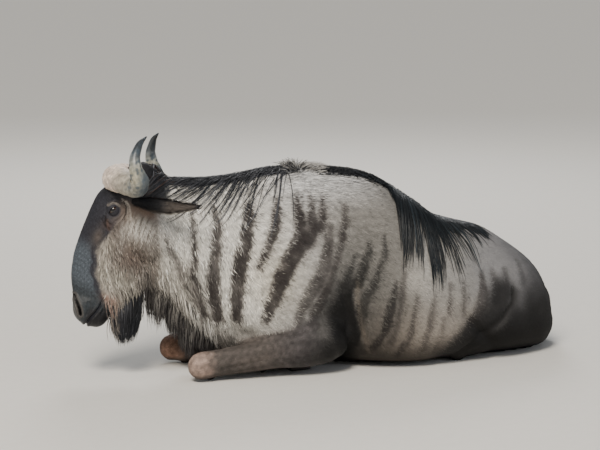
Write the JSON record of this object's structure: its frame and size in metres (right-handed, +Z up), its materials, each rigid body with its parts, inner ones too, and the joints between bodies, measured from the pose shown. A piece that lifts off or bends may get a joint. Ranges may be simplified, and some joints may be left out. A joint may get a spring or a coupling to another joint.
{
  "type": "wildebeest",
  "caption": "Life-size still model of a blue wildebeest bull lying on its chest, head up, forelegs folded under, hindquarters rolled onto the left hip.",
  "frame": {"origin": "on the floor under the belly, in the middle plane of the chest, 0.87 m behind the muzzle and 0.90 m ahead of the rump", "axes": "+Z up, -X towards the head, -Y the animal's left side, which the picture shows"},
  "size_m": [1.7706, 0.7149, 0.832],
  "materials": {
    "coat": "short grey fur with darker upright stripes",
    "face_coat": "very short slate-black fur, paler on the cheek",
    "leg_coat": "short brown fur",
    "long_hair": "long coarse black hair",
    "horn": "worn grey horn, granular on the boss",
    "hoof": "dull dark hoof horn",
    "eye": "wet dark brown"
  },
  "bodies": {
    "root": {"back_crest": "long_hair", "beard": "long_hair", "ear_left": "coat", "ear_right": "coat", "eye_left": "eye", "eye_right": "eye", "fore_cannon_left": "leg_coat", "fore_cannon_right": "leg_coat", "fore_pastern_left": "leg_coat", "fore_pastern_right": "leg_coat", "forearm_left": "leg_coat", "forearm_right": "leg_coat", "head": "face_coat", "hind_cannon_left": "leg_coat", "hind_cannon_right": "leg_coat", "hind_pastern_left": "leg_coat", "hind_pastern_right": "leg_coat", "hoof_fore_left_inner": "hoof", "hoof_fore_left_outer": "hoof", "hoof_fore_right_inner": "hoof", "hoof_fore_right_outer": "hoof", "hoof_hind_left_inner": "hoof", "hoof_hind_left_outer": "hoof", "hoof_hind_right_inner": "hoof", "hoof_hind_right_outer": "hoof", "horn_left": "horn", "horn_right": "horn", "mane": "long_hair", "neck": "coat", "shank_right": "coat", "tail_dock": "coat", "tail_tuft": "long_hair", "thigh_left": "coat", "thigh_right": "coat", "throat_fringe": "long_hair", "trunk": "coat"}
  },
  "joints": []
}
